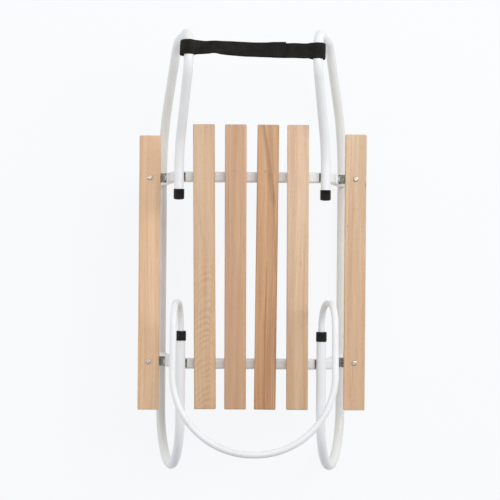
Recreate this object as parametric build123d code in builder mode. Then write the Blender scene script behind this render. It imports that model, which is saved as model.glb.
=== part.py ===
"""A steel-framed sled with beech slats, a plug-in back hoop and a webbing pull strap.

The sled stands on its runners. +Z is up, +Y is the way it travels, and the origin is on the ground
under the middle of the sled. All sizes are in millimetres.
"""
from build123d import *
from math import cos, radians, sin, tan
import os

os.makedirs("parts", exist_ok=True)

LEFT, RIGHT = -1, 1

# Overall sizes
sled_length = 832
runner_half_gauge = 179          # centreline of the sled to the centreline of a ground runner
rail_height = 210                # ground to the centreline of the upper rails

# Frame tube: one bent tube on each side
tube_diameter = 18
tube_wall = 1.5
rear_rail_x = 131.5
front_rail_x = 137
front_rail_end = 39              # the free front rail end, behind the front crossbar
rear_rail_end = 57.5             # the open rear rail end, ahead of the rear crossbar
nose_bend = 88                   # front crossbar to the corner where the runner lifts
nose_bend_radius = 250
nose_rise = 31                   # degrees
nose_toe_in = 33                 # how far the runner moves inwards up to the tip
rail_bend = 50                   # front crossbar to the corner where the rail rises to the horn
rail_bend_radius = 150
rail_rise = 27                   # degrees
horn_x = 110                     # half gauge of the corner at the top of the horns
horn_bend_radius = 53

# Crossbars, each with two legs
front_crossbar_setback = 272.5    # front end of the sled to the front crossbar
rear_crossbar_setback = 209.5     # rear end of the sled to the rear crossbar
crossbar_half_span = 146         # centreline of the sled to the corner above a leg
crossbar_width = 20
crossbar_thickness = 16
crossbar_corner = 5
crossbar_wall = 2
crossbar_bend_radius = 28
rail_notch_depth = 4             # how deep a rail is let into the crossbar
rail_notch_gap = 3               # open part of the notch beside the rail

# Slats
slat_width = 40.5
slat_thickness = 15
slat_edge_radius = 2
seat_slat_pitch = 58
seat_offset = -1.2               # the seat lies a little to the left
seat_slat_skews = [-0.7, -0.3, 0.3, -0.2]    # degrees, towards +X at the front
seat_overhang_front = 97.5
seat_overhang_rear = 84
side_slat_x = {LEFT: 195, RIGHT: 197}
side_slat_drop = 62              # top of the seat to the top of the side slats
side_overhang_front = {LEFT: 80, RIGHT: 85}
side_overhang_rear = {LEFT: 92, RIGHT: 90}

# Brackets between the legs and the side slats
bracket_width = 18
bracket_thickness = 2.5
bracket_rise = 26                # height of the flange on the leg
bracket_reach = 12               # flange past the screw
bracket_bend_radius = 2

# Fasteners
bolt_diameter = 6
bolt_head_width = 10
bolt_head_height = 4
bolt_nut_height = 5
screw_diameter = 5
screw_head_diameter = 10.5
screw_head_height = 2.6
screw_nut_width = 8
screw_nut_height = 4
seat_screw_diameter = 4
seat_screw_head_diameter = 8
seat_screw_head_height = 2.5
seat_screw_depth = 10            # how far a seat screw goes into the wood
fastener_end = 2                 # thread that shows past a nut

# End caps and collars
cap_diameter = 20
cap_length = 18
cap_end_wall = 2.5
cap_edge_radius = 1.5
collar_end_wall = 4
collar_sleeve_length = 25

# Back hoop
hoop_diameter = 12
hoop_wall = 1.5
hoop_plug_length = 106           # how far a hoop leg reaches into its rail
hoop_loop_reach = 55             # collar face to the front of the loop's centreline
hoop_loop_height = 110           # rise of the loop above the rail
hoop_loop_radius = 50
hoop_arm_x = 145.5
hoop_offset = 5.5                # the arc stands a little to the right
hoop_rear = 148.5                 # rear crossbar back to the centreline of the hoop's arc
hoop_arc_rise = 165              # rise of the arc above the rail
hoop_arc_radius = 143.5

# Pull strap
strap_width = 30
strap_loop_thickness = 2.2
strap_band_thickness = 3.6
strap_stations = {LEFT: 0.574, RIGHT: 0.652}    # places along the horns' bends, from their fronts

# Clearances
weld_gap = 0.05
hole_clearance = 0.2             # round fasteners, on the radius
thread_clearance = 0.05
sleeve_clearance = 0.05          # collars in and on the tubes, and the hoop in its collars
strap_clearance = 0.3

# Places worked out from the sizes above
tube_radius = tube_diameter / 2
hoop_radius = hoop_diameter / 2
front_tip_y = sled_length / 2 - tube_radius
rear_tip_y = -front_tip_y
front_crossbar_y = sled_length / 2 - front_crossbar_setback
rear_crossbar_y = rear_crossbar_setback - sled_length / 2
crossbar_ys = [front_crossbar_y, rear_crossbar_y]
front_rail_end_y = front_crossbar_y - front_rail_end
rear_rail_end_y = rear_crossbar_y + rear_rail_end
crossbar_top = rail_height - tube_radius + rail_notch_depth
crossbar_z = crossbar_top - crossbar_thickness / 2
crossbar_bottom = crossbar_top - crossbar_thickness
seat_top = crossbar_top + slat_thickness
side_slat_top = seat_top - side_slat_drop
side_slat_bottom = side_slat_top - slat_thickness
leg_slope = (runner_half_gauge - crossbar_half_span) / (crossbar_z - tube_radius)
collar_face_y = rear_rail_end_y + collar_end_wall


def save(piece, label):
    """Name a finished piece and write it."""
    piece.part.label = label
    export_step(piece.part, f"parts/{label}.step")


def round_between(before, start, end, after):
    """Radius of two equal bends, at start and end, that fill the run between those two corners."""
    run = end - start
    first_turn = (start - before).get_angle(run)
    second_turn = run.get_angle(after - end)
    return 0.99 * run.length / (tan(radians(first_turn / 2)) + tan(radians(second_turn / 2)))


def across(path):
    """The plane across a path at its start."""
    return Plane(origin=path @ 0, z_dir=path % 0)


# ---------------------------------------------------------------- runner tubes

def runner_corners(side):
    """Corners of a runner tube's centreline, from the rear rail end back, under and up to the front."""
    nose_bend_y = front_crossbar_y + nose_bend
    rail_bend_y = front_crossbar_y + rail_bend
    nose_z = tube_radius + (front_tip_y - nose_bend_y) * tan(radians(nose_rise))
    horn_z = rail_height + (front_tip_y - rail_bend_y) * tan(radians(rail_rise))
    nose_x = runner_half_gauge - nose_toe_in
    return [
        Vector(side * rear_rail_x, rear_rail_end_y, rail_height),
        Vector(side * rear_rail_x, rear_tip_y, rail_height),
        Vector(side * runner_half_gauge, rear_tip_y, tube_radius),
        Vector(side * runner_half_gauge, nose_bend_y, tube_radius),
        Vector(side * nose_x, front_tip_y, nose_z),
        Vector(side * horn_x, front_tip_y, horn_z),
        Vector(side * front_rail_x, rail_bend_y, rail_height),
        Vector(side * front_rail_x, front_rail_end_y, rail_height),
    ]


def runner_line(side):
    """Centreline of a runner tube: straight runs joined by round bends."""
    corners = runner_corners(side)
    curl_radius = round_between(*corners[0:4])
    horn_bends = [horn_bend_radius, horn_bend_radius]
    bends = [curl_radius, curl_radius, nose_bend_radius, *horn_bends, rail_bend_radius]
    with BuildLine() as line:
        FilletPolyline(*corners, radius=bends)
    return line.line


for side, name in ((LEFT, "left_runner_tube"), (RIGHT, "right_runner_tube")):
    centreline = runner_line(side)
    with BuildPart() as runner_tube:
        with BuildSketch(across(centreline)):
            Circle(tube_radius)
            Circle(tube_radius - tube_wall, mode=Mode.SUBTRACT)
        sweep(path=centreline)
    save(runner_tube, name)


# ---------------------------------------------------------------- slats

def seat_slat_x(number):
    """Middle of a seat slat, counted from 0 at the left."""
    return seat_offset + (number - (len(seat_slat_skews) - 1) / 2) * seat_slat_pitch


def seat_slat_x_at(number, y):
    """Centreline of a seat slat at a place along the sled."""
    middle_y = (front_crossbar_y + seat_overhang_front + rear_crossbar_y - seat_overhang_rear) / 2
    return seat_slat_x(number) + (y - middle_y) * tan(radians(seat_slat_skews[number]))


def slat_board(top, x, front_y, rear_y, skew):
    """A plain slat with rounded edges, its top face at the height given."""
    middle = Plane(origin=(x, (front_y + rear_y) / 2, top)).rotated((0, 0, -skew))
    with BuildPart() as board:
        with BuildSketch(middle):
            Rectangle(slat_width, front_y - rear_y)
        extrude(amount=-slat_thickness)
        fillet(board.edges(), slat_edge_radius)
    return board.part


seat_front_y = front_crossbar_y + seat_overhang_front
seat_rear_y = rear_crossbar_y - seat_overhang_rear
for number, skew in enumerate(seat_slat_skews):
    blank = slat_board(seat_top, seat_slat_x(number), seat_front_y, seat_rear_y, skew)
    screw_places = [(seat_slat_x_at(number, y), y) for y in crossbar_ys]
    with BuildPart() as seat_slat:
        add(blank)
        with BuildSketch(Plane.XY.offset(crossbar_top)):
            with Locations(*screw_places):
                Circle(seat_screw_diameter / 2 + thread_clearance)
        extrude(amount=seat_screw_depth + thread_clearance, mode=Mode.SUBTRACT)
    save(seat_slat, f"seat_slat_{number + 1}")

for side, name in ((LEFT, "side_slat_left"), (RIGHT, "side_slat_right")):
    side_front_y = front_crossbar_y + side_overhang_front[side]
    side_rear_y = rear_crossbar_y - side_overhang_rear[side]
    blank = slat_board(side_slat_top, side * side_slat_x[side], side_front_y, side_rear_y, 0)
    with BuildPart() as side_slat:
        add(blank)
        with BuildSketch(Plane.XY.offset(side_slat_bottom)):
            with Locations(*[(side * side_slat_x[side], y) for y in crossbar_ys]):
                Circle(screw_diameter / 2 + hole_clearance)
        extrude(amount=slat_thickness, mode=Mode.SUBTRACT)
    save(side_slat, name)


# ---------------------------------------------------------------- brackets and their fasteners

def leg_x(z):
    """Centreline of a leg at a height, on the right-hand side."""
    return crossbar_half_span + (crossbar_z - z) * leg_slope


def leg_face_x(z):
    """Outer face of a leg at a height, on the right-hand side."""
    return leg_x(z) + crossbar_thickness / 2 * (1 + leg_slope ** 2) ** 0.5


bolt_z = side_slat_bottom + bracket_rise / 2 + 1


def bolt_plane(side, y):
    """A plane on a leg's centreline, facing outwards along the bolt."""
    return Plane(origin=(side * leg_x(bolt_z), y, bolt_z), x_dir=(0, 1, 0), z_dir=(side, 0, leg_slope))


def bracket(side, y):
    """An angle bracket: one flange on the leg, the other under the side slat."""
    top_z = side_slat_bottom + bracket_rise
    under_z = side_slat_bottom - bracket_thickness
    tip_x = side_slat_x[side] + bracket_reach
    slant = bracket_thickness * (1 + leg_slope ** 2) ** 0.5
    outline = [
        (side * leg_face_x(top_z), top_z),
        (side * leg_face_x(under_z), under_z),
        (side * tip_x, under_z),
        (side * tip_x, side_slat_bottom),
        (side * (leg_face_x(side_slat_bottom) + slant), side_slat_bottom),
        (side * (leg_face_x(top_z) + slant), top_z),
    ]
    with BuildPart() as angle:
        with BuildSketch(Plane.XZ.offset(-y)):
            with BuildLine():
                Polyline(*outline, close=True)
            make_face()
        extrude(amount=bracket_width / 2, both=True)
        inner_bend = angle.edges().filter_by(Axis.Y).sort_by_distance((*outline[4][:1], y, outline[4][1]))[0]
        fillet(inner_bend, bracket_bend_radius)
        with BuildSketch(bolt_plane(side, y)):
            Circle(bolt_diameter / 2 + hole_clearance)
        extrude(amount=crossbar_thickness, mode=Mode.SUBTRACT)
        with BuildSketch(Plane(origin=(side * side_slat_x[side], y, under_z))):
            Circle(screw_diameter / 2 + hole_clearance)
        extrude(amount=bracket_thickness, mode=Mode.SUBTRACT)
    return angle


for y, place in ((front_crossbar_y, "front"), (rear_crossbar_y, "rear")):
    save(bracket(LEFT, y), f"bracket_{place}_left")
    save(bracket(RIGHT, y), f"bracket_{place}_right")

bracket_face = crossbar_thickness / 2 + bracket_thickness
bolt_planes = [bolt_plane(side, y) for side in (LEFT, RIGHT) for y in crossbar_ys]
nut_outer = -crossbar_thickness / 2
nut_inner = nut_outer - bolt_nut_height

with BuildPart() as bracket_bolts:
    for plane in bolt_planes:
        with BuildSketch(plane.offset(bracket_face)):
            RegularPolygon(bolt_head_width / 2, 6, major_radius=False)
        extrude(amount=bolt_head_height)
        with BuildSketch(plane.offset(nut_inner - fastener_end)):
            Circle(bolt_diameter / 2)
        extrude(amount=bracket_face - nut_inner + fastener_end)
save(bracket_bolts, "bracket_bolts")

with BuildPart() as bracket_nuts:
    for plane in bolt_planes:
        with BuildSketch(plane.offset(nut_inner)):
            RegularPolygon(bolt_head_width / 2, 6, major_radius=False)
            Circle(bolt_diameter / 2 + thread_clearance, mode=Mode.SUBTRACT)
        extrude(amount=bolt_nut_height)
save(bracket_nuts, "bracket_nuts")

side_screw_places = [(side * side_slat_x[side], y) for side in (LEFT, RIGHT) for y in crossbar_ys]
side_nut_bottom = side_slat_bottom - bracket_thickness - screw_nut_height
side_screw_end = side_nut_bottom - fastener_end

with BuildPart() as side_slat_screws:
    with BuildSketch(Plane.XY.offset(side_slat_top)):
        with Locations(*side_screw_places):
            Circle(screw_head_diameter / 2)
    extrude(amount=screw_head_height)
    head_rims = side_slat_screws.edges().group_by(Axis.Z)[-1]
    fillet(head_rims, screw_head_height * 0.6)
    with BuildSketch(Plane.XY.offset(side_screw_end)):
        with Locations(*side_screw_places):
            Circle(screw_diameter / 2)
    extrude(amount=side_slat_top - side_screw_end)
save(side_slat_screws, "side_slat_screws")

with BuildPart() as side_slat_nuts:
    with BuildSketch(Plane.XY.offset(side_nut_bottom)):
        with Locations(*side_screw_places):
            RegularPolygon(screw_nut_width / 2, 6, major_radius=False)
            Circle(screw_diameter / 2 + thread_clearance, mode=Mode.SUBTRACT)
    extrude(amount=screw_nut_height)
save(side_slat_nuts, "side_slat_nuts")

seat_screw_places = [
    (seat_slat_x_at(number, y), y) for number in range(len(seat_slat_skews)) for y in crossbar_ys
]

with BuildPart() as seat_slat_screws:
    with BuildSketch(Plane.XY.offset(crossbar_bottom - seat_screw_head_height)):
        with Locations(*seat_screw_places):
            Circle(seat_screw_head_diameter / 2)
    extrude(amount=seat_screw_head_height)
    with BuildSketch(Plane.XY.offset(crossbar_bottom)):
        with Locations(*seat_screw_places):
            Circle(seat_screw_diameter / 2)
    extrude(amount=crossbar_thickness + seat_screw_depth)
save(seat_slat_screws, "seat_slat_screws")


# ---------------------------------------------------------------- crossbars

for bar_y, rail_x, name in (
    (front_crossbar_y, front_rail_x, "front_crossbar"),
    (rear_crossbar_y, rear_rail_x, "rear_crossbar"),
):
    notch_width = tube_diameter + rail_notch_gap
    with BuildPart() as crossbar:
        with BuildLine() as bar_line:
            FilletPolyline(
                (-runner_half_gauge, bar_y, tube_radius),
                (-crossbar_half_span, bar_y, crossbar_z),
                (crossbar_half_span, bar_y, crossbar_z),
                (runner_half_gauge, bar_y, tube_radius),
                radius=crossbar_bend_radius,
            )
        bar_end = Plane(origin=bar_line.line @ 0, x_dir=(0, 1, 0), z_dir=bar_line.line % 0)
        with BuildSketch(bar_end):
            RectangleRounded(crossbar_width, crossbar_thickness, crossbar_corner)
            RectangleRounded(
                crossbar_width - 2 * crossbar_wall,
                crossbar_thickness - 2 * crossbar_wall,
                crossbar_corner - crossbar_wall,
                mode=Mode.SUBTRACT,
            )
        sweep(path=bar_line.line)
        # Notches that the rails lie in, a little wider than the rails on the inner side
        with BuildSketch(Plane.XY.offset(crossbar_top - rail_notch_depth)):
            with Locations(*[(side * (rail_x - rail_notch_gap / 2), bar_y) for side in (LEFT, RIGHT)]):
                Rectangle(notch_width, crossbar_width)
        extrude(amount=rail_notch_depth, mode=Mode.SUBTRACT)
        # Legs cut to the round of the ground runners
        with BuildSketch(Plane.XZ.offset(-bar_y)):
            with Locations((-runner_half_gauge, tube_radius), (runner_half_gauge, tube_radius)):
                Circle(tube_radius + weld_gap)
        extrude(amount=crossbar_width, both=True, mode=Mode.SUBTRACT)
        # Holes for the seat screws and the bracket bolts
        with BuildSketch(Plane.XY.offset(crossbar_bottom)):
            with Locations(*[(seat_slat_x_at(number, bar_y), bar_y) for number in range(len(seat_slat_skews))]):
                Circle(seat_screw_diameter / 2 + hole_clearance)
        extrude(amount=crossbar_thickness, mode=Mode.SUBTRACT)
        for side in (LEFT, RIGHT):
            with BuildSketch(bolt_plane(side, bar_y)):
                Circle(bolt_diameter / 2 + hole_clearance)
            extrude(amount=crossbar_thickness, both=True, mode=Mode.SUBTRACT)
    save(crossbar, name)


# ---------------------------------------------------------------- end caps and collars

for side, name in ((LEFT, "front_end_cap_left"), (RIGHT, "front_end_cap_right")):
    cap_face_y = front_rail_end_y - cap_end_wall
    with BuildPart() as end_cap:
        with BuildSketch(Plane(origin=(side * front_rail_x, cap_face_y, rail_height), z_dir=(0, 1, 0))):
            Circle(cap_diameter / 2)
        extrude(amount=cap_length)
        fillet(end_cap.edges().sort_by(Axis.Y)[0], cap_edge_radius)
        with BuildSketch(Plane(origin=(side * front_rail_x, front_rail_end_y, rail_height), z_dir=(0, 1, 0))):
            Circle(tube_radius + sleeve_clearance)
        extrude(amount=cap_length, mode=Mode.SUBTRACT)
    save(end_cap, name)

for side, name in ((LEFT, "rear_collar_left"), (RIGHT, "rear_collar_right")):
    face = Plane(origin=(side * rear_rail_x, collar_face_y, rail_height), z_dir=(0, -1, 0))
    with BuildPart() as collar:
        with BuildSketch(face):
            Circle(cap_diameter / 2)
        extrude(amount=cap_length)
        fillet(collar.edges().sort_by(Axis.Y)[-1], cap_edge_radius)
        with BuildSketch(face.offset(collar_end_wall)):
            Circle(tube_radius + sleeve_clearance)
            Circle(tube_radius - tube_wall - sleeve_clearance, mode=Mode.SUBTRACT)
        extrude(amount=cap_length, mode=Mode.SUBTRACT)
        with BuildSketch(face.offset(collar_end_wall)):
            Circle(tube_radius - tube_wall - sleeve_clearance)
        extrude(amount=collar_sleeve_length)
        with BuildSketch(face):
            Circle(hoop_radius + sleeve_clearance)
        extrude(amount=collar_end_wall + collar_sleeve_length, mode=Mode.SUBTRACT)
    save(collar, name)


# ---------------------------------------------------------------- back hoop

hoop_front_y = collar_face_y + hoop_loop_reach
hoop_rear_y = rear_crossbar_y - hoop_rear
hoop_corners = [
    Vector(RIGHT * rear_rail_x, collar_face_y - hoop_plug_length, rail_height),
    Vector(RIGHT * rear_rail_x, hoop_front_y, rail_height),
    Vector(hoop_offset + hoop_arm_x, hoop_front_y, rail_height + hoop_loop_height),
    Vector(hoop_offset + hoop_arm_x, hoop_rear_y, rail_height + hoop_arc_rise),
    Vector(hoop_offset - hoop_arm_x, hoop_rear_y, rail_height + hoop_arc_rise),
    Vector(hoop_offset - hoop_arm_x, hoop_front_y, rail_height + hoop_loop_height),
    Vector(LEFT * rear_rail_x, hoop_front_y, rail_height),
    Vector(LEFT * rear_rail_x, collar_face_y - hoop_plug_length, rail_height),
]

with BuildPart() as backrest_hoop:
    with BuildLine() as hoop_line:
        FilletPolyline(
            *hoop_corners,
            radius=[hoop_loop_radius] * 2 + [hoop_arc_radius] * 2 + [hoop_loop_radius] * 2,
        )
    with BuildSketch(across(hoop_line.line)):
        Circle(hoop_radius)
        Circle(hoop_radius - hoop_wall, mode=Mode.SUBTRACT)
    sweep(path=hoop_line.line)
save(backrest_hoop, "backrest_hoop")


# ---------------------------------------------------------------- pull strap

def horn_stretch(side, length):
    """A stretch of a horn's centreline with the strap at its middle."""
    horn_corner = runner_corners(side)[5]
    horn_bend = runner_line(side).edges().filter_by(GeomType.CIRCLE).sort_by_distance(horn_corner)[0]
    half = length / 2 / horn_bend.length
    front_first = (horn_bend @ 0).Y > (horn_bend @ 1).Y
    middle = strap_stations[side] if front_first else 1 - strap_stations[side]
    return horn_bend.trim(middle - half, middle + half)


strap_seats = [horn_stretch(LEFT, strap_width), horn_stretch(RIGHT, strap_width)]
loop_bore_radius = tube_radius + strap_clearance
band_middle = (strap_seats[0] @ 0.5 + strap_seats[1] @ 0.5) / 2
band_run = strap_seats[1] @ 0.5 - strap_seats[0] @ 0.5
band_slope = strap_seats[0] % 0.5 + strap_seats[1] % 0.5
band_normal = band_run.cross(Vector(0, band_slope.Y, band_slope.Z))
band_length = band_run.length - 2 * loop_bore_radius - strap_loop_thickness

with BuildPart() as pull_strap:
    for seat in strap_seats:
        with BuildSketch(across(seat)):
            Circle(loop_bore_radius + strap_loop_thickness)
            Circle(loop_bore_radius, mode=Mode.SUBTRACT)
        sweep(path=seat)
    with BuildSketch(Plane(origin=band_middle, x_dir=band_run, z_dir=band_normal)):
        Rectangle(band_length, strap_width)
    extrude(amount=strap_band_thickness / 2, both=True)
save(pull_strap, "pull_strap")
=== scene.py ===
"""The looks of a slatted sled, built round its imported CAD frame. Metres; +Y is the front and +Z is up."""
import math

import bpy
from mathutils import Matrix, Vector, noise


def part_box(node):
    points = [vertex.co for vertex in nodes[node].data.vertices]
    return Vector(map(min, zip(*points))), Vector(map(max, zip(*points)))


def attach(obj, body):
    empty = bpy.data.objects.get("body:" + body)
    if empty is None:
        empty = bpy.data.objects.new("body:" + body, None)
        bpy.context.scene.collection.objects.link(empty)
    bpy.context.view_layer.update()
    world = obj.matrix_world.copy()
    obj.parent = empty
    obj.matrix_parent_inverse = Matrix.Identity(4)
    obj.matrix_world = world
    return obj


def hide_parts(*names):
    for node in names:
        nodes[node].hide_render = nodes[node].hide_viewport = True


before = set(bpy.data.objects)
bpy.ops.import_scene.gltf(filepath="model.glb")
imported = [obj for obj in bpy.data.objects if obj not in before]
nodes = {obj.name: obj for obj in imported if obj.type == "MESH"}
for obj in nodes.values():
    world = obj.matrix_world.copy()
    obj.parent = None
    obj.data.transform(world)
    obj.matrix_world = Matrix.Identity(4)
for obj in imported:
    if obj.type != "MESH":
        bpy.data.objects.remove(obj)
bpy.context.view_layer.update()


# ---------------------------------------------------------------- writing node materials

class Shader:
    """A node material, written through short calls. A value is a number, a tuple or a node's socket."""

    def __init__(self, name, **surface):
        self.material = bpy.data.materials.new(name)
        self.material.use_nodes = True
        self.tree = self.material.node_tree
        self.surface = self.tree.nodes["Principled BSDF"]
        for key, value in surface.items():
            self.put(self.surface.inputs[key.replace("_", " ")], value)

    def put(self, socket, value):
        if isinstance(value, bpy.types.NodeSocket):
            self.tree.links.new(value, socket)
        else:
            socket.default_value = value

    def node(self, kind, inputs, **settings):
        made = self.tree.nodes.new("ShaderNode" + kind)
        for key, value in settings.items():
            setattr(made, key, value)
        for key, value in inputs.items():
            self.put(made.inputs[key], value)
        return made

    def math(self, operation, a, b=0.0):
        return self.node("Math", {0: a, 1: b}, operation=operation).outputs[0]

    def plus(self, first, *rest):
        for value in rest:
            first = self.math("ADD", first, value)
        return first

    def minus(self, a, b):
        return self.math("SUBTRACT", a, b)

    def times(self, first, *rest):
        for value in rest:
            first = self.math("MULTIPLY", first, value)
        return first

    def hump(self, squared):
        """1 where squared is 0, falling away smoothly as it grows."""
        return self.math("EXPONENT", self.times(squared, -1.0))

    def vector(self, operation, a, b):
        return self.node("VectorMath", {0: a, 1: b}, operation=operation).outputs[0]

    def noise(self, place, stretch, seed, detail=2.0, roughness=0.55):
        """Smooth noise from 0 to 1, with stretch cells to the metre along each axis."""
        at = self.vector("MULTIPLY", place, stretch)
        inputs = {"Vector": at, "W": seed, "Scale": 1.0, "Detail": detail, "Roughness": roughness}
        return self.node("TexNoise", inputs, noise_dimensions="4D").outputs["Fac"]

    def spread(self, value, low, high, to_low=0.0, to_high=1.0, smooth=True):
        """Value moved from low..high to to_low..to_high, and held there outside."""
        inputs = {"Value": value, "From Min": low, "From Max": high, "To Min": to_low, "To Max": to_high}
        kind = "SMOOTHSTEP" if smooth else "LINEAR"
        return self.node("MapRange", inputs, interpolation_type=kind).outputs[0]

    def mix(self, factor, a, b, blend="MIX"):
        made = self.node("Mix", {0: factor, 6: a, 7: b}, data_type="RGBA", blend_type=blend)
        return made.outputs[2]

    def bump(self, height, distance, strength):
        made = self.node("Bump", {"Height": height, "Distance": distance, "Strength": strength})
        self.put(self.surface.inputs["Normal"], made.outputs["Normal"])

    def axes(self, place):
        return self.node("SeparateXYZ", {0: place}).outputs

    def colour(self, value):
        self.put(self.surface.inputs["Base Color"], value)

    def roughness(self, value):
        self.put(self.surface.inputs["Roughness"], value)


def object_place(shader):
    return shader.node("TexCoord", {}).outputs["Object"]


def srgb(red, green, blue):
    """A colour given from 0 to 255, as the linear values that a shader takes."""
    def linear(value):
        value /= 255
        return value / 12.92 if value <= 0.04045 else ((value + 0.055) / 1.055) ** 2.4
    return (linear(red), linear(green), linear(blue), 1.0)


def wear(node, material):
    """Gives a CAD node its finish."""
    nodes[node].data.materials.clear()
    nodes[node].data.materials.append(material)


# ---------------------------------------------------------------- beech

def beech(node, seed, light, dark, tint, grain=1.0, bands=1.0, rear=(1.0, 1.0, 1.0),
          streaks_and_painted_shadow=(), spots=(), arcs=None, tint_from=None):
    """Oiled beech for one slat: long grain, pores, ray flecks, the marks of its own board, and painted
    shadow.

    The board takes on the tone rear towards its rear end, a painted shade for the light that falls off
    towards the rear. Its tint comes and goes across it, and is full to the right of tint_from.
    Places are in metres from the board's middle.
    """
    low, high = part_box(node)
    s = Shader("beech_" + node, Roughness=0.5, Coat_Weight=0.25, Coat_Roughness=0.35, IOR=1.5)
    local = s.vector("SUBTRACT", object_place(s), tuple((low + high) / 2))
    wander = s.node("TexNoise", {"Vector": s.vector("MULTIPLY", local, (9, 3.2, 9)), "W": seed,
                                 "Scale": 1.0, "Detail": 1.0}, noise_dimensions="4D").outputs["Color"]
    wander = s.vector("MULTIPLY", s.vector("SUBTRACT", wander, (0.5, 0.5, 0.5)), (0.014, 0.0, 0.014))
    place = s.vector("ADD", local, wander)
    x, y, _ = s.axes(place)

    fine = s.noise(place, (1000, 9, 1000), seed, 3.0, 0.6)
    band = s.noise(place, (210, 2.6, 210), seed + 3, 3.0, 0.55)
    broad = s.noise(place, (42, 1.5, 42), seed + 7, 1.0)
    value = s.plus(s.times(s.minus(fine, 0.5), 1.1 * grain), s.times(s.minus(band, 0.5), 1.7 * bands),
                   s.times(s.minus(broad, 0.5), 1.3))
    if arcs:
        value = s.plus(value, grain_arcs(s, local, x, y, seed, *arcs))
    colour = s.mix(s.spread(s.plus(value, 0.5), 0.0, 1.0, smooth=False), dark, light)

    blush = s.spread(s.noise(place, (70, 1.2, 70), seed + 17, 1.0), 0.35, 0.65)
    if tint_from is not None:
        full = s.spread(x, tint_from - 0.004, tint_from + 0.004)
        blush = s.math("MAXIMUM", s.times(blush, 0.35), full)
    colour = s.mix(s.times(blush, 0.75), colour, tint, "MULTIPLY")
    # painted shade: the colour is multiplied towards the tone rear at the board's rear end, for light
    # falling off away from the front
    colour = s.mix(s.spread(y, 0.22, -0.22, smooth=False), colour, rear + (1.0,), "MULTIPLY")

    pits = s.times(s.spread(s.noise(place, (1500, 150, 1500), seed + 23, 0.0), 0.66, 0.74), 0.16)
    flecks = s.times(s.spread(s.noise(place, (420, 160, 420), seed + 29, 0.0), 0.68, 0.8), 0.12)
    shade = s.plus(pits, flecks, *board_marks_and_painted_shadow(s, local, x, y, streaks_and_painted_shadow, spots))
    deep = (dark[0] * 0.28, dark[1] * 0.2, dark[2] * 0.15, 1.0)
    colour = s.mix(s.math("MINIMUM", shade, 0.85), colour, deep)

    facing = s.axes(s.node("TexCoord", {}).outputs["Normal"])[1]
    end = s.spread(s.math("ABSOLUTE", facing), 0.55, 0.9)
    pores = s.noise(local, (1900, 300, 1900), seed + 31, 2.0)
    s.colour(s.mix(end, colour, sawn_end(s, local, seed, dark, pores)))
    s.roughness(s.plus(s.spread(fine, 0.2, 0.8, 0.4, 0.56), s.times(end, 0.2)))
    grainy = s.minus(fine, s.times(shade, 1.2))
    s.bump(s.plus(grainy, s.times(pores, end, 0.8)), 0.00012, 0.5)
    wear(node, s.material)


def grain_arcs(s, local, x, y, seed, period, apex, bend, bend_right, y_from, y_to, depth):
    """Dark lines of curved grain, nested one behind the other from y_from to y_to.

    Each turns over at x = apex, and drops away faster on the right of it.
    """
    side = s.minus(x, apex)
    right = s.math("MAXIMUM", side, 0.0)
    patchy = s.noise(local, (22, 13, 22), seed + 11, 2.0)
    wave = s.plus(y, s.plus(s.times(side, side, bend), s.times(right, right, bend_right)),
                  s.times(patchy, 4.6 * period))
    wave = s.math("SINE", s.times(wave, 2 * math.pi / period))
    faint = s.spread(s.noise(local, (50, 30, 50), seed + 41, 1.0), 0.35, 0.65, 0.1, 1.0)
    lines = s.times(s.spread(wave, -0.6, 1.0, 0.0, -1.0), faint)
    where = s.times(s.spread(y, y_from - 0.04, y_from + 0.04),
                    s.spread(y, y_to - 0.02, y_to + 0.02, 1.0, 0.0))
    return s.times(lines, where, depth)


def board_marks_and_painted_shadow(s, local, x, y, streaks_and_painted_shadow, spots):
    """The shade that each dark streak and spot adds; a streak can also be a painted shadow.

    A streak is x, lean, half width, y from, y to and depth; a spot is x, y, its half sizes and depth.
    """
    for across, lean, width, y_from, y_to, depth in streaks_and_painted_shadow:
        off = s.math("DIVIDE", s.minus(s.minus(x, across), s.times(y, lean)), width)
        ends = s.times(s.spread(y, y_from, y_from + 0.03), s.spread(y, y_to - 0.03, y_to, 1.0, 0.0))
        yield s.times(s.hump(s.times(off, off)), ends, depth)
    plain_x, plain_y, _ = s.axes(local)
    for at_x, at_y, half_x, half_y, depth in spots:
        off_x = s.math("DIVIDE", s.minus(plain_x, at_x), half_x)
        off_y = s.math("DIVIDE", s.minus(plain_y, at_y), half_y)
        yield s.times(s.hump(s.plus(s.times(off_x, off_x), s.times(off_y, off_y))), depth)


def sawn_end(s, local, seed, dark, pores):
    """The darker colour of a sawn end, with its open pores and the arcs of the growth rings."""
    ring_x, _, ring_z = s.axes(s.vector("ADD", local, (0.02 + 0.004 * seed, 0.0, 0.05)))
    ring = s.math("SQRT", s.plus(s.times(ring_x, ring_x), s.times(ring_z, ring_z)))
    ring = s.math("SINE", s.times(ring, 2 * math.pi / RING_PITCH))
    cut = s.plus(s.times(ring, 0.12), s.times(pores, 0.5))
    return s.mix(s.spread(cut, 0.05, 0.5, smooth=False), tuple(0.62 * c for c in dark[:3]) + (1.0,), dark)


RING_PITCH = 0.0026
WARM = (0.94, 0.86, 0.8, 1.0)
PINK = (0.975, 0.89, 0.87, 1.0)

# Each slat's rear tone is painted shade, darkening it towards its rear end.
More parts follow.
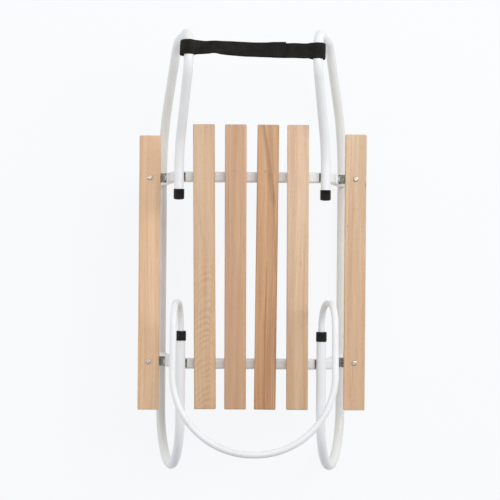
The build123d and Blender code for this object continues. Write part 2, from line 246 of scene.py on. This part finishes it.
beech("seat_slat_1", 1.3, srgb(218, 189, 158), srgb(187, 148, 116), WARM, bands=0.7,
      rear=(0.975, 0.955, 0.91), arcs=(0.0125, 0.009, 28.0, 170.0, -0.30, 0.03, 0.30),
      streaks_and_painted_shadow=[(0.004, -0.16, 0.0016, 0.02, 0.16, 0.1), (-0.008, -0.13, 0.0014, -0.02, 0.1, 0.08)],
      spots=[(0.002, -0.045, 0.006, 0.004, 0.1)])
beech("seat_slat_2", 4.1, srgb(217, 184, 149), srgb(186, 144, 110), PINK, bands=0.6,
      rear=(0.91, 0.89, 0.87), tint_from=-0.005,
      streaks_and_painted_shadow=[(-0.012, 0.0, 0.0012, 0.05, 0.26, 0.12), (0.0165, 0.0, 0.0015, -0.27, -0.16, 0.14),
               (0.008, 0.01, 0.001, -0.1, 0.2, 0.08)])
beech("seat_slat_3", 7.7, srgb(205, 163, 124), srgb(168, 124, 87), WARM, bands=1.5, grain=1.3,
      rear=(0.98, 0.95, 0.9),
      streaks_and_painted_shadow=[(0.0295, -0.135, 0.0018, 0.10, 0.30, 0.28), (0.022, -0.115, 0.003, 0.1, 0.30, 0.22),
               (0.0145, -0.03, 0.0014, -0.02, 0.16, 0.3), (-0.001, 0.004, 0.0012, -0.30, 0.02, 0.34),
               (0.006, 0.01, 0.0016, -0.30, -0.02, 0.14), (-0.008, 0.0, 0.0018, -0.30, 0.2, 0.1),
               (0.0175, 0.0, 0.0016, -0.30, 0.1, 0.24), (0.0115, -0.006, 0.001, -0.30, -0.05, 0.24)],
      spots=[(-0.0035, 0.178, 0.0022, 0.0028, 0.34), (0.002, 0.172, 0.003, 0.006, 0.14)])
beech("seat_slat_4", 10.9, srgb(235, 210, 182), srgb(205, 171, 140), WARM, bands=0.45, grain=1.5,
      rear=(0.82, 0.75, 0.67),
      streaks_and_painted_shadow=[(0.012, 0.0, 0.0008, -0.3, 0.28, 0.07), (-0.013, 0.003, 0.0008, -0.3, 0.28, 0.07)],
      spots=[(0.0058, 0.007, 0.0008, 0.004, 0.4), (0.008, -0.11, 0.001, 0.003, 0.2)])
# painted shadow: the streak along this slat's inner edge, towards the front, stands for the shadow of the
# rail and its end cap
beech("side_slat_left", 14.2, srgb(238, 203, 167), srgb(209, 168, 131), WARM, bands=0.8,
      streaks_and_painted_shadow=[(0.017, 0.0, 0.003, 0.02, 0.2, 0.12)])
beech("side_slat_right", 18.6, srgb(229, 204, 175), srgb(203, 170, 135), WARM, bands=0.9,
      rear=(0.92, 0.83, 0.77),
      streaks_and_painted_shadow=[(-0.001, 0.0, 0.0008, -0.225, -0.16, 0.25), (-0.006, 0.0, 0.001, -0.25, 0.2, 0.06)],
      spots=[(0.0182, 0.167, 0.0009, 0.006, 0.6), (-0.0152, 0.088, 0.0012, 0.003, 0.35)])


# ---------------------------------------------------------------- metal and plastic

WHITE = (0.785, 0.797, 0.812)
# painted shade: the crossbars' white is a darker, warmer copy of WHITE, for the shade and bounce light
# between the slats
CROSSBAR_WHITE_PAINTED_SHADE = (0.761, 0.769, 0.763)
# the warm painted shade that the powder coat takes near the ground
PAINTED_GROUND_SHADE = (0.955, 0.95, 0.905, 1.0)
BRACKET_COAT_EDGE = 0.164        # distance from the sled's middle where a bracket's white coat ends


def powder_coat(name, colour, roughness):
    """Baked white powder coat with a slight orange peel, a little uneven, with a warm painted shade near the
    ground.
    """
    s = Shader(name, Roughness=roughness, IOR=1.5, Coat_Weight=0.08, Coat_Roughness=0.3)
    place = object_place(s)
    uneven = s.noise(place, (14, 14, 14), 2.0, 2.0)
    dusty = tuple(c * k for c, k in zip(colour, (0.95, 0.945, 0.935))) + (1.0,)
    white = s.mix(s.spread(uneven, 0.35, 0.7), colour + (1.0,), dusty)
    # painted shade: the coat is darkened and warmed towards the ground, for the shade and the bounce light
    # from the wood low down
    painted_ground_shade = s.spread(s.axes(place)[2], 0.19, 0.03)
    s.colour(s.mix(painted_ground_shade, white, PAINTED_GROUND_SHADE, "MULTIPLY"))
    peel = s.noise(place, (260, 260, 260), 5.0, 1.0)
    s.roughness(s.spread(uneven, 0.2, 0.8, roughness - 0.05, roughness + 0.07))
    s.bump(peel, 0.000008, 0.5)
    return s.material


def metal(name, dark, light, roughness, grain, metallic, coated_inside=None):
    """Plated steel with cloudy patches and fine marks, coated white where |x| is under coated_inside."""
    s = Shader(name, Metallic=metallic, Roughness=roughness)
    place = object_place(s)
    clouds = s.noise(place, (grain, grain, grain), 3.0, 3.0, 0.6)
    colour = s.mix(s.spread(clouds, 0.3, 0.7), dark, light)
    if coated_inside:
        side = s.math("ABSOLUTE", s.axes(place)[0])
        bare = s.spread(side, coated_inside - 0.0005, coated_inside + 0.0005)
        colour = s.mix(bare, WHITE + (1.0,), colour)
        s.put(s.surface.inputs["Metallic"], s.times(bare, metallic))
    s.colour(colour)
    marks = s.noise(place, (300, 2400, 300), 6.0, 2.0)
    s.roughness(s.spread(s.plus(clouds, marks), 0.6, 1.4, roughness - 0.1, roughness + 0.12))
    s.bump(marks, 0.00003, 0.5)
    return s.material


def moulded_plastic(name):
    """Black moulded plastic with a fine spark-eroded grain, greyer where it is rubbed."""
    s = Shader(name, Roughness=0.5, IOR=1.4, Specular_IOR_Level=0.35)
    place = object_place(s)
    worn = s.noise(place, (160, 160, 160), 1.0, 3.0)
    s.colour(s.mix(s.spread(worn, 0.4, 0.75), srgb(10, 8, 5), srgb(28, 24, 20)))
    s.roughness(s.spread(worn, 0.3, 0.7, 0.42, 0.6))
    s.bump(s.noise(place, (2600, 2600, 2600), 4.0, 1.0), 0.00005, 0.6)
    return s.material


coat = powder_coat("white_powder_coat", WHITE, 0.44)
for name in ("left_runner_tube", "right_runner_tube", "backrest_hoop"):
    wear(name, coat)

# The crossbars wear the same powder coat as the frame, in a shaded copy: painted shade.
crossbar_coat_painted_shade = powder_coat("crossbar_powder_coat_painted_shade", CROSSBAR_WHITE_PAINTED_SHADE, 0.44)
for name in ("front_crossbar", "rear_crossbar"):
    wear(name, crossbar_coat_painted_shade)

zinc = metal("zinc_plate", srgb(98, 104, 96), srgb(158, 163, 152), 0.42, 240, 0.85,
             coated_inside=BRACKET_COAT_EDGE)
for name in ("bracket_front_left", "bracket_front_right", "bracket_rear_left", "bracket_rear_right"):
    wear(name, zinc)

steel = metal("fastener_steel", srgb(150, 150, 147), srgb(206, 205, 200), 0.42, 500, 0.8)
for name in ("bracket_bolts", "bracket_nuts", "side_slat_nuts", "seat_slat_screws"):
    wear(name, steel)

plastic = moulded_plastic("black_plastic")
for name in ("front_end_cap_left", "front_end_cap_right", "rear_collar_left", "rear_collar_right"):
    wear(name, plastic)


# ---------------------------------------------------------------- meshes

def mesh_piece(name, points, faces, material, body, slot):
    mesh = bpy.data.meshes.new(name)
    mesh.from_pydata([tuple(p) for p in points], [], faces)
    mesh.validate()
    mesh.materials.append(material)
    for face in mesh.polygons:
        face.use_smooth = True
    piece = bpy.data.objects.new(name, mesh)
    bpy.context.scene.collection.objects.link(piece)
    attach(piece, body)
    return piece


def skin(rings, closed_along=False):
    """Points and faces of a surface through rings of points, with flat ends unless it closes on itself."""
    count = len(rings[0])
    points = [p for ring in rings for p in ring]
    faces = []
    spans = len(rings) if closed_along else len(rings) - 1
    for i in range(spans):
        here, there = i * count, (i + 1) % len(rings) * count
        for j in range(count):
            k = (j + 1) % count
            faces.append((here + j, here + k, there + k, there + j))
    if not closed_along:
        faces.append(tuple(range(count))[::-1])
        faces.append(tuple(range((len(rings) - 1) * count, len(rings) * count)))
    return points, faces


def joined(parts):
    """Several lots of points and faces as one."""
    points, faces = [], []
    for more_points, more_faces in parts:
        first = len(points)
        points += more_points
        faces += [tuple(first + i for i in face) for face in more_faces]
    return points, faces


def turns(count):
    """Angles evenly round a circle."""
    return [2 * math.pi * k / count for k in range(count)]


def keep_sharp(piece):
    """Edges sharper than 40 degrees are left out of the smooth shading."""
    edges = piece.modifiers.new("edges", "EDGE_SPLIT")
    edges.split_angle = math.radians(40)


def smooth_step(value, low, high):
    t = min(max((value - low) / (high - low), 0.0), 1.0)
    return t * t * (3 - 2 * t)


# ---------------------------------------------------------------- side slat screws

def corners_of(node):
    """The box round each of a node's four corner pieces."""
    groups = {}
    for vertex in nodes[node].data.vertices:
        groups.setdefault((vertex.co.x > 0, vertex.co.y > 0), []).append(vertex.co)
    boxes = []
    for points in groups.values():
        low = Vector([min(p[i] for p in points) for i in range(3)])
        high = Vector([max(p[i] for p in points) for i in range(3)])
        boxes.append((low, high))
    return boxes


def socket_screw(low, high, head_height, turn):
    """A pan-head screw with a hexagon socket and a grooved shank, standing in the box given."""
    middle = (low + high) / 2
    head = (high.x - low.x) / 2
    seat = high.z - head_height
    socket = head * 0.36
    thread, pitch = 0.0025, 0.0008
    profile = [(thread * 0.7, low.z), (thread, low.z + 0.0006)]
    z = low.z + 0.0006
    while z < seat - 0.0024:
        profile += [(thread * 0.88, z + pitch / 2), (thread, z + pitch)]
        z += pitch
    profile += [(thread, seat), (head * 0.94, seat), (head, seat + 0.0003),
                (head, seat + head_height * 0.2), (head * 0.95, seat + head_height * 0.5),
                (head * 0.82, seat + head_height * 0.76), (head * 0.62, seat + head_height * 0.94),
                (head * 0.44, high.z)]
    hexagon = [(socket * 1.04, high.z - 0.00003), (socket, high.z - 0.0002), (socket, high.z - 0.0009),
               (socket * 0.3, high.z - 0.0011)]
    rings = []
    for radius, z in profile + hexagon:
        ring = []
        for angle in turns(36):
            reach = radius
            if (radius, z) in hexagon:
                reach = radius / math.cos((angle + math.pi / 6) % (math.pi / 3) - math.pi / 6)
            way = angle + turn
            ring.append(Vector((middle.x + reach * math.cos(way), middle.y + reach * math.sin(way), z)))
        rings.append(ring)
    return skin(rings)


HEAD_HEIGHT = 0.0026
screws = joined([socket_screw(low, high, HEAD_HEIGHT, 0.4 + 1.1 * number)
                 for number, (low, high) in enumerate(corners_of("side_slat_screws"))])
# painted highlight: the screw heads' zinc is lighter and warmer than the other fasteners' steel, for the
# bright reflections on their domes
steel_and_painted_highlight = metal("zinc_and_painted_highlight", srgb(190, 180, 166), srgb(232, 224, 212), 0.3, 700, 0.8)
screw_heads = mesh_piece("side_slat_socket_screws", *screws, steel_and_painted_highlight, "frame", "fastener_steel")
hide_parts("side_slat_screws")
keep_sharp(screw_heads)


# ---------------------------------------------------------------- end caps

BORE = 0.0091                    # radius of the hole that a rail sits in


def domed_cap(low, high):
    """A push-on cap round the end of a rail, closed with a low dome at its free end."""
    x, z = (low.x + high.x) / 2, (low.z + high.z) / 2
    reach, height = (high.x - low.x) / 2, 0.0018
    dome = [(low.y - height * math.cos(t), reach * 0.94 * math.sin(t))
            for t in [math.pi / 2 * k / 8 for k in range(1, 9)]]
    profile = [(low.y - height, 0.0004)] + dome + [
        (low.y + 0.0003, reach * 0.985), (low.y + 0.0010, reach), (high.y - 0.0016, reach),
        (high.y - 0.0012, reach + 0.0003), (high.y - 0.0004, reach + 0.0003), (high.y, reach - 0.0001),
        (high.y, BORE), (low.y + 0.0020, BORE), (low.y + 0.0020, 0.0004)]
    return skin([[Vector((x + r * math.cos(a), y, z + r * math.sin(a))) for a in turns(48)]
                 for y, r in profile])


for name in ("front_end_cap_left", "front_end_cap_right"):
    cap = mesh_piece(name.replace("front_end", "domed_end"), *domed_cap(*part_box(name)), plastic, "frame",
                     "black_plastic")
    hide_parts(name)
    keep_sharp(cap)


# ---------------------------------------------------------------- weld beads

def bead(line, closed, radius, seed):
    """A weld bead along a line, with the ripples that the torch leaves."""
    rings = []
    count = len(line)
    for i, point in enumerate(line):
        before = line[i - 1] if i or closed else point
        after = line[(i + 1) % count] if i < count - 1 or closed else point
        way = (after - before).normalized()
        side = way.cross(Vector((0.3, 0.5, 0.81))).normalized()
        up = way.cross(side)
        ends = 1.0 if closed else min(1.0, 0.35 + i / 4, 0.35 + (count - 1 - i) / 4)
        swell = radius * ends * (1 + 0.16 * math.sin(2.1 * i + seed) + 0.1 * noise.noise(point * 400))
        rings.append([point + swell * (math.cos(a) * side + math.sin(a) * up) for a in turns(10)])
    return skin(rings, closed)


def spaced(line, closed, gap):
    """Points along a line, evenly spaced."""
    path = line + [line[0]] if closed else line
    marks, total = [0.0], 0.0
    for a, b in zip(path, path[1:]):
        total += (b - a).length
        marks.append(total)
    count = max(4, round(total / gap))
    points = []
    for i in range(count if closed else count + 1):
        want = total * i / count
        span = max(j for j in range(len(path) - 1) if marks[j] <= want + 1e-9)
        share = (want - marks[span]) / max(marks[span + 1] - marks[span], 1e-9)
        points.append(path[span].lerp(path[span + 1], share))
    return points


RAIL_RADIUS = 0.009
RAIL_Z = 0.210
RAIL_X = {"front_crossbar": 0.137, "rear_crossbar": 0.1315}
CROSSBAR_TOP_Z = 0.205           # the rails are let into the crossbars
FOOT_X, FOOT_Z = 0.179, 0.009    # middle of a runner's ground length
CORNER_X, CORNER_Z = 0.146, 0.197    # the crossbar's corner at the top of the leg
BEAD_LINE_RADIUS = 0.0093        # beads run just outside the tubes
RIPPLE = 0.0011                  # spacing of a bead's rings


def rail_arc(x, y):
    """The outline of a rail, as far as it lies in a crossbar."""
    reach = math.acos((RAIL_Z - CROSSBAR_TOP_Z) / RAIL_RADIUS)
    return [Vector((x + BEAD_LINE_RADIUS * math.sin(a), y, RAIL_Z - BEAD_LINE_RADIUS * math.cos(a)))
            for a in [reach * (k / 20 - 1) for k in range(41)]]


def foot_loop(side, y):
    """The outline of a leg's foot, laid over the round of a runner."""
    foot = Vector((side * FOOT_X, y, FOOT_Z))
    up = (Vector((side * CORNER_X, y, CORNER_Z)) - foot).normalized()
    across = Vector((up.z, 0.0, -up.x))
    loop = []
    for a in turns(80):
        u = max(-0.0102, min(0.0102, 0.0118 * math.cos(a)))
        v = max(-0.0082, min(0.0082, 0.0098 * math.sin(a)))
        rise = math.sqrt(BEAD_LINE_RADIUS ** 2 - v * v)
        loop.append(foot + Vector((0.0, u, 0.0)) + v * across + rise * up)
    return loop


def weld_lines():
    """Each bead's line, whether it is closed, and its radius."""
    for node, rail_x in RAIL_X.items():
        low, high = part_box(node)
        for side in (-1, 1):
            for y in (low.y - 0.0006, high.y + 0.0006):
                yield spaced(rail_arc(side * rail_x, y), False, RIPPLE), False, 0.0014
            yield spaced(foot_loop(side, (low.y + high.y) / 2), True, RIPPLE), True, 0.0015


weld_coat = powder_coat("coated_welds", tuple(0.97 * c for c in WHITE), 0.4)
beads = joined([bead(line, closed, radius, number * 1.7)
                for number, (line, closed, radius) in enumerate(weld_lines())])
mesh_piece("weld_beads", *beads, weld_coat, "frame", "powder_coat")


# ---------------------------------------------------------------- pull strap

LEFT_HUB = Vector((-0.11786, 0.37429, 0.28099))      # middle of the loop round the left horn
RIGHT_HUB = Vector((0.11771, 0.36953, 0.28281))
LEFT_WAY = -Vector((0.0335, -0.9234, 0.3824)).normalized()       # the way the left horn runs there
RIGHT_WAY = -Vector((-0.0053, -0.9725, 0.2328)).normalized()
RUN = (RIGHT_HUB - LEFT_HUB).length
HALF_WIDTH = 0.0152
THICK = 0.0017
WRAP = 0.009 + 0.00035 + THICK / 2       # from a horn's middle to the middle of the webbing round it
LEFT_SLACK = 0.0157                      # how far the loop reaches out past the horn's middle
RIGHT_SLACK = 0.0133
LAP_END = 0.177                          # where the top layer stops, as a distance from the left hub
TAIL_END = 0.152                         # where the tail under it stops
STITCH_ROWS = (0.0105, 0.0185, 0.1635, 0.1710, 0.1755)
PINCH = 0.047                            # where the band is narrowest
COLUMN = 0.00125                         # width of a column of the weave
YARN = 0.0011                            # spacing of the slanted yarns in it
# Places along a stitch, each with the thread's thickness there
STITCH_SHAPE = ((0.0, 0.3), (0.1, 0.8), (0.3, 1.0), (0.5, 1.08), (0.7, 1.0), (0.9, 0.8), (1.0, 0.3))


def strap_frame(along):
    """Middle, width direction, run direction and outward direction at a distance from the left horn."""
    t = min(max(along / RUN, 0.0), 1.0)
    run = (RIGHT_HUB - LEFT_HUB).normalized()
    width = LEFT_WAY.lerp(RIGHT_WAY, t)
    width = (width - width.dot(run) * run).normalized()
    out = run.cross(width)
    lay = -12 + 4 * smooth_step(along, 0.05, 0.085) + 2 * smooth_step(along, 0.15, 0.2)
    lay *= smooth_step(along, 0.008, 0.034) * (1 - smooth_step(along, RUN - 0.03, RUN - 0.005))
    lay = math.radians(lay)
    width, out = (math.cos(lay) * width + math.sin(lay) * out,
                  math.cos(lay) * out - math.sin(lay) * width)
    return LEFT_HUB.lerp(RIGHT_HUB, t), width, run, out


def strap_line():
    """The webbing's own line: top layer, left loop, bottom layer, right loop, and the tail under the lap."""
    gap, half = 0.0017, math.pi / 2
    line = []

    def level(along, sign):
        near_left = 1 - smooth_step(along, 0.0012, 0.0150)
        near_right = smooth_step(along, RUN - 0.021, RUN - 0.001)
        rest = THICK * 0.54
        height = rest + (WRAP - rest) * max(near_left, near_right)
        press = sum(math.exp(-((along - row) / 0.0018) ** 2) for row in STITCH_ROWS)
        return sign * (height - 0.00012 * press)

    along = LAP_END
    while along > 0:
        lift = THICK * 0.95 * smooth_step(along, TAIL_END - 0.012, TAIL_END + 0.004)
        line.append((along, 0.0, level(along, 1) + lift, "top"))
        along -= gap
    for k in range(25):
        a = half + math.pi * k / 24
        line.append((0.0, LEFT_SLACK * math.cos(a), WRAP * math.sin(a), "left"))
    along = gap
    while along < RUN:
        line.append((along, 0.0, level(along, -1), "bottom"))
        along += gap
    for k in range(25):
        a = -half + math.pi * k / 24
        line.append((RUN, RIGHT_SLACK * math.cos(a), WRAP * math.sin(a), "right"))
    along = RUN - gap
    while along > TAIL_END:
        line.append((along, 0.0, level(along, 1), "tail"))
        along -= gap
    return line


def strap_edges(along, rise, part):
    """How far the front and rear edges reach from the middle."""
    wavy = 0.00035 * noise.noise(Vector((along * 45, 3.1 if part == "top" else 8.7, 0.0)))
    front, rear = HALF_WIDTH + wavy, -HALF_WIDTH + wavy
    drift = 0.0042 - 0.0032 * smooth_step(along, 0.04, 0.11) + 0.0020 * smooth_step(along, 0.15, 0.225)
    if part == "left" or part == "right":
        drift *= (1 - rise / WRAP) / 2
    elif part != "bottom":
        drift *= smooth_step(along, 0.002, 0.016) * (1 - smooth_step(along, RUN - 0.018, RUN - 0.004))
    if part == "top":
        drift += 0.0008 * smooth_step(along, 0.12, LAP_END)
    elif part == "tail":
        drift -= 0.0016 * (1 - smooth_step(along, RUN - 0.03, RUN))
    return front + drift, rear + drift


def strap_point(step, across):
    """A point on the webbing's middle surface; across goes from -1 at the rear edge to 1 at the front."""
    along, a, b, part = step
    middle, width, run, out = strap_frame(along)
    front, rear = strap_edges(along, b, part)
    v = rear + (front - rear) * (across + 1) / 2
    near = max(1 - smooth_step(along, 0.012, 0.05), smooth_step(along, RUN - 0.05, RUN - 0.012))
    sag = -0.0021 * (v / 0.015) ** 2 * near
    point = middle + run * a + width * v + out * (b + sag)
    pinch = math.exp(-((along - PINCH) / 0.0085) ** 2)
    rolled = max(0.0, -across - 0.25) / 0.75
    if part in ("top", "bottom"):
        point += pinch * rolled ** 2 * (0.0042 * width - 0.0026 * out)
        point -= 0.0007 * pinch * out * (1 - across * across)
        crown = math.sin(math.pi * min(max((along - 0.055) / 0.105, 0.0), 1.0))
        point += 0.0009 * crown * (1 - across * across) * out
    if part != "left" and part != "right":
        wave = noise.noise(Vector((along * 30, across * 1.2, 1.7)))
        point += 0.00045 * wave * out * (1 - near)
    return point


def strap_mesh():
    """The webbing with its thickness and round edges, with lengths along and across it as its UVs."""
    line = strap_line()
    across = [-1 + 2 * k / 22 for k in range(23)]
    rings, lengths, run_length = [], [], 0.0
    for i, step in enumerate(line):
        before, after = line[max(i - 1, 0)], line[min(i + 1, len(line) - 1)]
        if i:
            run_length += (strap_point(step, 0.0) - strap_point(line[i - 1], 0.0)).length
        upper, lower = [], []
        for value in across:
            point = strap_point(step, value)
            way = strap_point(after, value) - strap_point(before, value)
            side = strap_point(step, min(value + 0.05, 1.0)) - strap_point(step, max(value - 0.05, -1.0))
            normal = way.cross(side).normalized()
            edge = max(0.0, (abs(value) - 0.945) / 0.055)
            half = THICK / 2 * math.sqrt(max(0.0, 1 - edge * edge * 0.92))
            upper.append(point + half * normal)
            lower.append(point - half * normal)
        rings.append(upper + lower[::-1])
        lengths.append(run_length)
    points, faces = skin(rings)
    return points, faces, lengths, across


def webbing():
    """Black polyester webbing: columns of slanted yarn, with a painted sheen greying their crowns."""
    s = Shader("black_webbing", Roughness=0.8, IOR=1.3, Specular_IOR_Level=0.25, Sheen_Weight=0.04,
               Sheen_Roughness=0.5)
    s.surface.inputs["Sheen Tint"].default_value = (0.7, 0.68, 0.65, 1.0)
    u, v, _ = s.axes(s.node("UVMap", {}, uv_map="webbing").outputs[0])
    slant = s.times(s.math("PINGPONG", v, COLUMN), 0.8)
    yarn = s.math("SINE", s.times(s.plus(u, slant), 2 * math.pi / YARN))
    crown = s.math("ABSOLUTE", s.math("SINE", s.times(v, math.pi / COLUMN)))
    height = s.plus(s.times(crown, 0.7), s.times(yarn, 0.3))
    fuzz = s.noise(object_place(s), (900, 900, 900), 2.0, 2.0)
    worn = s.noise(object_place(s), (55, 55, 55), 6.0, 2.0)
    # painted sheen: the crowns of the weave are coloured greyer, along with random wear
    tone = s.plus(s.times(height, 0.45), s.times(s.minus(worn, 0.5), 1.1))
    s.colour(s.mix(s.spread(tone, -0.2, 0.8), srgb(18, 17, 15), srgb(44, 42, 38)))
    s.roughness(s.spread(fuzz, 0.3, 0.7, 0.66, 0.82))
    s.bump(s.plus(height, s.times(fuzz, 0.5)), 0.00022, 0.8)
    return s.material


points, faces, lengths, across = strap_mesh()
strap = mesh_piece("webbing_strap", points, faces, webbing(), "frame", "black_webbing")
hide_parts("pull_strap")
per_ring = 2 * len(across)
layer = strap.data.uv_layers.new(name="webbing")
for face in strap.data.polygons:
    for corner in face.loop_indices:
        index = strap.data.loops[corner].vertex_index
        column = index % per_ring
        value = across[column] if column < len(across) else across[per_ring - 1 - column]
        layer.data[corner].uv = (lengths[index // per_ring], HALF_WIDTH * (value + 1))


def stitches():
    """Rows of thread sunk in the webbing across its width."""
    parts = []
    for row in STITCH_ROWS:
        line = [step for step in strap_line() if step[3] == "top"]
        step = min(line, key=lambda s: abs(s[0] - row))
        spot = -0.88
        while spot < 0.86:
            a, b = strap_point(step, spot), strap_point(step, spot + 0.17)
            _, _, run, out = strap_frame(step[0])
            way = (b - a).normalized()
            rings = []
            for share, size in STITCH_SHAPE:
                middle = a.lerp(b, share) + out * (THICK / 2 + 0.0001 - 0.0003 * abs(2 * share - 1) ** 3)
                middle += run * (row - step[0])
                rings.append([middle + 0.00036 * size * (math.cos(t) * run + math.sin(t) * out)
                              for t in turns(8)])
            parts.append(skin(rings))
            spot += 0.225
    return joined(parts)


thread = Shader("polyester_thread", Roughness=0.6, IOR=1.4)
twist = thread.noise(object_place(thread), (1800, 500, 1800), 3.0, 1.0)
thread.colour(thread.mix(thread.spread(twist, 0.3, 0.7), srgb(14, 13, 12), srgb(46, 44, 41)))
thread.bump(twist, 0.0001, 0.8)
mesh_piece("strap_stitching", *stitches(), thread.material, "frame", "black_webbing")


# ---------------------------------------------------------------- floor, light and camera

def floor():
    """A pale studio floor."""
    mesh = bpy.data.meshes.new("floor")
    radius = 24.0
    ring = [(radius * math.cos(a), radius * math.sin(a), -0.0002) for a in turns(64)]
    mesh.from_pydata(ring, [], [tuple(range(64))])
    s = Shader("studio_floor", Roughness=0.9, Specular_IOR_Level=0.0, Emission_Strength=0.866)
    s.surface.inputs["Base Color"].default_value = (0.095, 0.095, 0.095, 1.0)
    s.surface.inputs["Emission Color"].default_value = (0.982, 0.998, 1.018, 1.0)
    mesh.materials.append(s.material)
    piece = bpy.data.objects.new("floor", mesh)
    bpy.context.scene.collection.objects.link(piece)


def softbox(name, place, aim, width, depth, radiance, colour):
    data = bpy.data.lights.new(name, "AREA")
    data.shape = "RECTANGLE"
    data.size, data.size_y = width, depth
    data.energy = radiance * math.pi * width * depth
    data.color = colour
    lamp = bpy.data.objects.new(name, data)
    bpy.context.scene.collection.objects.link(lamp)
    lamp.location = place
    lamp.rotation_euler = (Vector(aim) - Vector(place)).to_track_quat("-Z", "Y").to_euler()
    lamp.visible_camera = False


floor()
softbox("key", (2.05, 1.15, 2.15), (0.0, 0.0, 0.15), 1.3, 1.3, 7.35, (1.0, 0.985, 0.965))
softbox("left", (-2.4, 0.2, 0.95), (0.0, 0.0, 0.15), 1.6, 1.0, 2.5, (0.98, 0.99, 1.0))
softbox("overhead", (0.2, 1.9, 4.4), (0.0, 0.3, 0.2), 4.2, 3.2, 2.12, (0.985, 0.99, 1.0))

world = bpy.data.worlds.new("studio")
world.use_nodes = True
world.node_tree.nodes["Background"].inputs["Color"].default_value = (0.97, 0.985, 1.0, 1.0)
world.node_tree.nodes["Background"].inputs["Strength"].default_value = 0.45
scene = bpy.context.scene
scene.world = world
scene.view_settings.view_transform = "Standard"

camera = bpy.data.cameras.new("camera")
camera.sensor_width = 36.0
camera.lens = 113.58
camera.clip_end = 60.0
viewer = bpy.data.objects.new("camera", camera)
scene.collection.objects.link(viewer)
viewer.location = (-0.0033, 0.0071, 3.160)
viewer.rotation_euler = (0.0, 0.0, math.radians(0.48))
scene.camera = viewer

bpy.context.view_layer.update()
